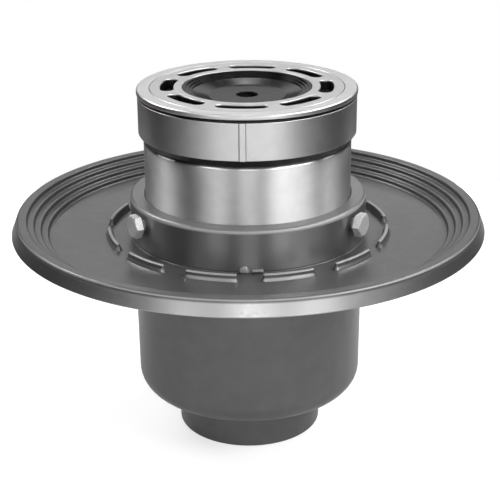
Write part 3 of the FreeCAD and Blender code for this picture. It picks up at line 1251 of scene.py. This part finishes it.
@dataclass
class StrainerFrame(Part):
    """Plated ring with its lip, key and threaded spigot."""

    top: float = 189.7
    lip_r: float = 57.05
    lip_thickness: float = 2.5
    lip_round: float = 1.0
    lip_under_edge: float = 0.4
    wall_r: float = 56.6
    wall_bottom: float = 166.8
    wall_edge: float = 0.3
    chamfer_edge: float = 0.5
    groove_r: float = 54.2
    groove_height: float = 1.5
    shoulder_r: float = 53.5
    shoulder: float = 162.6
    shoulder_relief: float = 0.4
    shoulder_edge: float = 0.3
    spigot_r: float = 50.3
    end: float = 140.6
    end_edge: float = 0.6
    seal_low: float = 5.0
    seal_high: float = 8.0
    seal_depth: float = 1.8
    seal_edge: float = 0.2
    collar: float = 1.0
    collar_slope: float = 0.6
    thread_depth: float = 0.7
    thread_foot: float = 10.4
    thread_gap: float = 1.0
    pitch: float = 2.0
    bore_r: float = 46.5
    bore_edge: float = 0.4
    rebate_r: float = 50.35
    rebate_edge: float = 0.25
    seat: float = 183.2
    key_turn_deg: float = -2.4
    key_root: float = 1.2
    key_seam: float = 0.03
    key_foot_half: float = 1.95
    key_face_half: float = 1.2
    key_spans: int = 6
    # Depth below the lip's radius and growth of the face's half width, from the flank's end to the face.
    key_levels: tuple[Point, ...] = ((0.08, 0.2), (0.02, 0.0), (0.0, -0.25))

    def section(self) -> list[Corner]:
        """Turned section of the frame, cut back to the thread's root on the spigot.

        Returns:
            Corners in order.
        """
        lip = self.top - self.lip_thickness
        groove = lip - self.groove_height
        root = self.spigot_r - self.thread_depth
        low, high = self.end + self.seal_low, self.end + self.seal_high
        collar = high + self.collar
        return [
            Corner(self.bore_r, self.end, self.bore_edge),
            Corner(self.spigot_r, self.end, self.end_edge),
            Corner(self.spigot_r, low, self.seal_edge),
            Corner(self.spigot_r - self.seal_depth, low),
            Corner(self.spigot_r - self.seal_depth, high),
            Corner(self.spigot_r, high, self.seal_edge),
            Corner(self.spigot_r, collar, self.seal_edge),
            Corner(root, collar + self.collar_slope),
            Corner(root, self.shoulder - self.shoulder_relief),
            Corner(self.spigot_r - self.shoulder_relief, self.shoulder),
            Corner(self.shoulder_r, self.shoulder, self.shoulder_edge),
            Corner(self.wall_r, self.wall_bottom, self.chamfer_edge),
            Corner(self.wall_r, groove, self.wall_edge),
            Corner(self.groove_r, groove),
            Corner(self.groove_r, lip),
            Corner(self.lip_r, lip, self.lip_under_edge),
            Corner(self.lip_r, self.top, self.lip_round),
            Corner(self.rebate_r, self.top, self.rebate_edge),
            Corner(self.rebate_r, self.seat),
            Corner(self.bore_r, self.seat, self.bore_edge),
        ]

    def key(self) -> Object:
        """Upright key on the wall, with sloped flanks and softened edges.

        Returns:
            The key.
        """
        low, high = self.wall_bottom, self.top - self.lip_thickness - self.groove_height
        middle = math.radians(self.key_turn_deg)
        levels = [
            (self.wall_r - self.key_root, self.key_foot_half),
            (self.wall_r - self.key_seam, self.key_foot_half),
        ]
        levels += [(self.lip_r - depth, self.key_face_half + grow) for depth, grow in self.key_levels]
        rings = []
        for r, half in levels:
            side = half / self.wall_r
            across = [side * (2 * i / self.key_spans - 1) for i in range(self.key_spans + 1)]
            ring = [round_at(r, middle + turn, low) for turn in across]
            ring += [round_at(r, middle - turn, high) for turn in across]
            rings.append(ring)
        return lofted("key", rings)

    def build(self) -> None:
        """Makes the ring, its key and its thread as one piece."""
        ring = turned("frame_ring", self.section(), WIDE_SEGMENTS)
        foot = self.end + self.thread_foot
        length = self.shoulder - self.thread_gap - foot
        root = self.spigot_r - self.thread_depth
        thread = self.thread("frame_thread", root, foot, length, length / self.pitch, self.thread_depth)
        whole = join("frame_with_lip", [ring, self.key(), thread])
        self.dress(whole, Body.TOP, Slot.FRAME, "strainer_frame")


@dataclass
class StrainerPlate(Part):
    """Round plate with eight curved slots and a ledged opening."""

    outer_r: float = 50.2
    top: float = 189.7
    thickness: float = 5.0
    opening_r: float = 33.4
    ledge_r: float = 30.5
    ledge_thickness: float = 2.4
    top_edge: float = 0.4
    under_edge: float = 0.3
    ledge_edge: float = 0.2
    slot_r: float = 41.3
    slot_half_width: float = 3.4
    slot_length: float = 25.6
    slot_count: int = 8
    slot_turn_deg: float = -4.0
    # Height over the plate's top and growth of the half width, which breaks the slot's edge.
    slot_levels: tuple[Point, ...] = ((-6.0, 0.0), (-0.5, 0.0), (-0.4, 0.0), (-0.1, 0.12), (0.3, 0.55))

    def cutter(self) -> Object:
        """Slot tool at the front, flared at the top.

        Returns:
            The tool.
        """
        half_turn = (self.slot_length / 2 - self.slot_half_width) / self.slot_r
        return lofted("slot_cutter", [
            slot_ring(self.slot_r, half_turn, self.slot_half_width + out, self.top + z)
            for z, out in self.slot_levels
        ])

    def build(self) -> None:
        """Turns the plate and cuts its ring of slots."""
        bottom = self.top - self.thickness
        ledge = bottom + self.ledge_thickness
        plate = turned("slotted_plate", [
            Corner(self.ledge_r, bottom, self.under_edge),
            Corner(self.outer_r, bottom, self.under_edge),
            Corner(self.outer_r, self.top, self.top_edge),
            Corner(self.opening_r, self.top, self.top_edge),
            Corner(self.opening_r, ledge),
            Corner(self.ledge_r, ledge, self.ledge_edge),
        ])
        cutter = self.cutter()
        self.around(self.trees.cut, plate, cutter, self.slot_count, self.slot_turn_deg)
        bpy.data.objects.remove(cutter)
        self.dress(plate, Body.TOP, Slot.PLATE, "strainer_plate")


@dataclass
class HoseBush(Part):
    """Stepped rubber bush in the plate's opening."""

    top: float = 189.7
    outer_r: float = 33.2
    body_r: float = 30.3
    ledge: float = 187.1
    rim_below: float = 0.2
    ring_width: float = 1.6
    ring_drop: float = 0.8
    ring_count: int = 3
    floor_r: float = 20.0
    floor_depth: float = 4.6
    floor_thickness: float = 2.6
    hole_r: float = 5.5
    hole_edge: float = 0.4
    hole_under_edge: float = 0.3
    body_round: float = 3.0
    collar_edge: float = 0.2
    rim_edge: float = 0.35
    ring_edge: float = 0.22
    ring_fillet: float = 0.2
    floor_fillet: float = 1.2

    def build(self) -> None:
        """Turns the bush with its moulded rings."""
        rim = self.top - self.rim_below
        floor = self.top - self.floor_depth
        bottom = floor - self.floor_thickness
        section = [
            Corner(self.hole_r, bottom, self.hole_under_edge),
            Corner(self.body_r, bottom, self.body_round),
            Corner(self.body_r, self.ledge),
            Corner(self.outer_r, self.ledge, self.collar_edge),
            Corner(self.outer_r, rim, self.rim_edge),
        ]
        for ring in range(self.ring_count):
            r = self.outer_r - (ring + 1) * self.ring_width
            z = rim - ring * self.ring_drop
            section.append(Corner(r, z, self.ring_edge))
            section.append(Corner(r, z - self.ring_drop, self.ring_fillet))
        section.append(Corner(self.floor_r, floor, self.floor_fillet))
        section.append(Corner(self.hole_r, floor, self.hole_edge))
        self.dress(turned("stepped_bush", section), Body.TOP, Slot.BUSH, "hose_bush")


@dataclass
class HiddenParts:
    """Solids that keep their shape: the bell, the gasket and the frame's seal."""

    finishes: dict[str, Material]

    def build(self) -> None:
        """Dresses each solid."""
        for node, finish in self.finishes.items():
            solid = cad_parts[node]
            solid.data.materials.clear()
            solid.data.materials.append(finish)
            LOG.info("%s: solid kept, %s", node, finish.name)


@dataclass(frozen=True)
class Softbox:
    """Soft studio lamp that faces the trap, in degrees and metres."""

    name: str
    turn_deg: float
    rise_deg: float
    width: float
    height: float
    radiance: float
    distance: float = 1.4
    aim: tuple[float, float, float] = (0.0, 0.0, 0.14)

    def build(self) -> None:
        """Hangs the lamp, with its power worked out from its radiance and size."""
        turn, rise = math.radians(self.turn_deg), math.radians(self.rise_deg)
        flat = math.cos(rise)
        toward = Vector((flat * math.sin(turn), -flat * math.cos(turn), math.sin(rise)))
        lamp = bpy.data.lights.new(self.name, "AREA")
        lamp.shape = "RECTANGLE"
        lamp.size = self.width
        lamp.size_y = self.height
        lamp.energy = self.radiance * math.pi * self.width * self.height
        made = bpy.data.objects.new(self.name, lamp)
        made.location = Vector(self.aim) + toward * self.distance
        made.rotation_euler = toward.to_track_quat("Z", "Y").to_euler()
        made.visible_camera = False
        bpy.context.scene.collection.objects.link(made)


@dataclass
class Studio:
    """Pale paper strip, soft lamps, surrounding light and the camera at the photograph's angle."""

    # Name, turn from the front, rise, width, height and radiance of each lamp.
    softboxes: tuple[Softbox, ...] = (
        Softbox("low_left", -27.0, 8.0, 0.4, 0.5, 2.6),
        Softbox("low_front", 1.0, 15.0, 0.45, 0.5, 3.8),
        Softbox("low_right", 28.0, 8.0, 0.4, 0.5, 3.9),
        Softbox("rear_left", -132.0, 42.0, 0.45, 0.5, 5.0),
        Softbox("side_left", -115.0, 42.0, 0.45, 0.5, 9.5),
        Softbox("key_left", -45.0, 38.0, 0.45, 0.5, 3.9),
        Softbox("key_right", 47.0, 38.0, 0.45, 0.5, 9.8),
        Softbox("fill_right", 70.0, 38.0, 0.45, 0.5, 8.5),
        Softbox("side_right", 113.0, 42.0, 0.45, 0.5, 8.0),
        Softbox("rear_right", 131.0, 42.0, 0.45, 0.5, 5.0),
        Softbox("back_box", 180.0, 23.5, 0.9, 0.35, 1.35),
        Softbox("back_patch", 180.0, 48.0, 0.12, 0.35, 12.0),
        Softbox("overhead", 0.0, 84.0, 0.9, 0.9, 1.4),
    )
    paper_half_width: float = 0.38
    paper_front: float = -1.6
    paper_back: float = 0.4
    paper_grey: float = 0.6
    paper_to_eye: float = 0.6
    paper_to_metal: float = 0.15
    camera_place: tuple[float, float, float] = (0.00086, -0.65, 0.3563)
    camera_pitch_deg: float = 68.383
    camera_roll_deg: float = -0.46
    lens_mm: float = 93.27
    sensor_mm: float = 36.0
    # Share of the way from the front of the room to its back, and the light there.
    room_levels: tuple[Point, ...] = ((0.0, 0.33), (0.3, 0.1), (0.5, 0.0), (0.7, 0.0), (0.88, 0.08))

    def paper(self) -> None:
        """Lays the paper strip, white to the eye and still taking the trap's shadow."""
        bm = bmesh.new()
        x, y0, y1 = self.paper_half_width, self.paper_front, self.paper_back
        bm.faces.new([bm.verts.new(p) for p in ((-x, y0, 0), (x, y0, 0), (x, y1, 0), (-x, y1, 0))])
        mesh = bpy.data.meshes.new("paper")
        bm.to_mesh(mesh)
        bm.free()
        sheet = bpy.data.objects.new("paper", mesh)
        bpy.context.scene.collection.objects.link(sheet)
        made = bpy.data.materials.new("white_paper")
        made.use_nodes = True
        tree = made.node_tree
        tree.nodes.clear()
        grey = self.paper_grey
        lit = add_node(tree, "ShaderNodeBsdfDiffuse", {"Color": (grey, grey, grey, 1.0)})
        glow = add_node(tree, "ShaderNodeEmission", {"Color": WHITE, "Strength": self.glow(tree)})
        both = add_node(tree, "ShaderNodeAddShader", {0: lit.outputs["BSDF"], 1: glow.outputs["Emission"]})
        add_node(tree, "ShaderNodeOutputMaterial", {"Surface": both.outputs["Shader"]})
        mesh.materials.append(made)

    def glow(self, tree: Tree) -> Socket:
        """Extra white of the paper, for the eye and for rays that metal or glass send on.

        Args:
            tree: Tree that takes the nodes.

        Returns:
            The strength, which lights nothing else.
        """
        path = add_node(tree, "ShaderNodeLightPath")
        bounced = add_node(tree, "ShaderNodeMath", {
            0: path.outputs["Is Glossy Ray"],
            1: path.outputs["Is Transmission Ray"],
        }, operation="MAXIMUM")
        metal = add_node(tree, "ShaderNodeMath", {
            0: bounced.outputs["Value"],
            1: self.paper_to_metal,
        }, operation="MULTIPLY")
        return add_node(tree, "ShaderNodeMath", {
            0: path.outputs["Is Camera Ray"],
            1: self.paper_to_eye,
            2: metal.outputs["Value"],
        }, operation="MULTIPLY_ADD").outputs["Value"]

    def surroundings(self) -> None:
        """Lights the room: pale in front of the trap, dark at its sides, white to the eye."""
        world = bpy.data.worlds.new("studio")
        bpy.context.scene.world = world
        world.use_nodes = True
        tree = world.node_tree
        tree.nodes.clear()
        place = add_node(tree, "ShaderNodeTexCoord").outputs["Generated"]
        parts = add_node(tree, "ShaderNodeSeparateXYZ", {"Vector": place})
        depth = add_node(tree, "ShaderNodeMapRange", {"Value": parts.outputs["Y"], "From Min": -1.0})
        ramp = add_node(tree, "ShaderNodeValToRGB", {"Fac": depth.outputs["Result"]})
        stops = ramp.color_ramp.elements
        while len(stops) < len(self.room_levels):
            stops.new(0.5)
        for stop, (position, level) in zip(stops, self.room_levels):
            stop.position = position
            stop.color = (level, level, level, 1.0)
        room = add_node(tree, "ShaderNodeBackground", {"Color": ramp.outputs["Color"], "Strength": 1.0})
        white = add_node(tree, "ShaderNodeBackground", {"Color": WHITE, "Strength": 1.0})
        path = add_node(tree, "ShaderNodeLightPath")
        mixed = add_node(tree, "ShaderNodeMixShader", {
            0: path.outputs["Is Camera Ray"],
            1: room.outputs["Background"],
            2: white.outputs["Background"],
        })
        add_node(tree, "ShaderNodeOutputWorld", {"Surface": mixed.outputs["Shader"]})

    def camera(self) -> None:
        """Sets the camera where the photograph was taken from."""
        lens = bpy.data.cameras.new("camera")
        lens.sensor_fit = "HORIZONTAL"
        lens.sensor_width = self.sensor_mm
        lens.lens = self.lens_mm
        made = bpy.data.objects.new("camera", lens)
        pitch = Matrix.Rotation(math.radians(self.camera_pitch_deg), 4, "X")
        roll = Matrix.Rotation(math.radians(self.camera_roll_deg), 4, "Z")
        made.matrix_world = Matrix.Translation(self.camera_place) @ pitch @ roll
        bpy.context.scene.collection.objects.link(made)
        bpy.context.scene.camera = made

    def build(self) -> None:
        """Sets up the whole studio."""
        bpy.context.scene.view_settings.view_transform = "Standard"
        self.paper()
        self.surroundings()
        for softbox in self.softboxes:
            softbox.build()
        self.camera()
        LOG.info("studio: %d softboxes", len(self.softboxes))


def main() -> None:
    """Builds the trap's pieces in order, then the studio."""
    logging.basicConfig(level=logging.INFO, format="%(name)s %(message)s")
    # Graphite-coated cast iron has a dark sheen, paler where it is turned, and paler on rounded edges,
    # marks and rib tops as painted highlight.
    iron = CoatedIron(
        "coated_cast_iron", "#606060", roughness=0.33, metallic=0.6, worked=CASTING_FACES).material()
    # Turned nickel stretches each light into an upright streak.
    sleeve_nickel = TurnedNickel(
        "turned_satin_nickel", "#dcdcdc", roughness=0.5, metallic=1.0, worked=SLEEVE_FACES).material()
    # Blasted nickel is pale and even, apart from painted shade in the frame's undercut and groove and on
    # the plate's slot walls; the cast plate is a little duller than the frame.
    frame_nickel = SatinNickel(
        "blasted_satin_nickel", "#d2d2d2", roughness=0.33, metallic=1.0, worked=FRAME_FACES).material()
    plate_nickel = SatinNickel(
        "cast_satin_nickel", "#c4c4c4", roughness=0.34, metallic=1.0,
        pale="#cccccc", worked=PLATE_FACES).material()
    # Bright zinc glitters on the bolt heads.
    zinc = BrightZinc("bright_zinc", "#b4b4b4", roughness=0.48, metallic=0.5).material()
    # The bush's rubber catches soft lights, and the seals' rubber hardly shines.
    bush_rubber = MouldedRubber("semi_gloss_rubber", "#0e0e0e", roughness=0.2).material()
    seal_rubber = MouldedRubber("matte_seal_rubber", "#111111", roughness=0.7).material()
    # Moulded plastic is plain and grey.
    plastic = MouldedPlastic("moulded_grey_plastic", "#5f5f5f", roughness=0.48).material()
    trees = Trees()
    for part in (
        Casting(trees, iron),
        SetBolts(trees, zinc),
        Sleeve(trees, sleeve_nickel),
        StrainerFrame(trees, frame_nickel),
        StrainerPlate(trees, plate_nickel),
        HoseBush(trees, bush_rubber),
        HiddenParts({"bell_cup": plastic, "plate_gasket": seal_rubber, "frame_seal": seal_rubber}),
        Studio(),
    ):
        part.build()


if __name__ == "__main__":
    main()
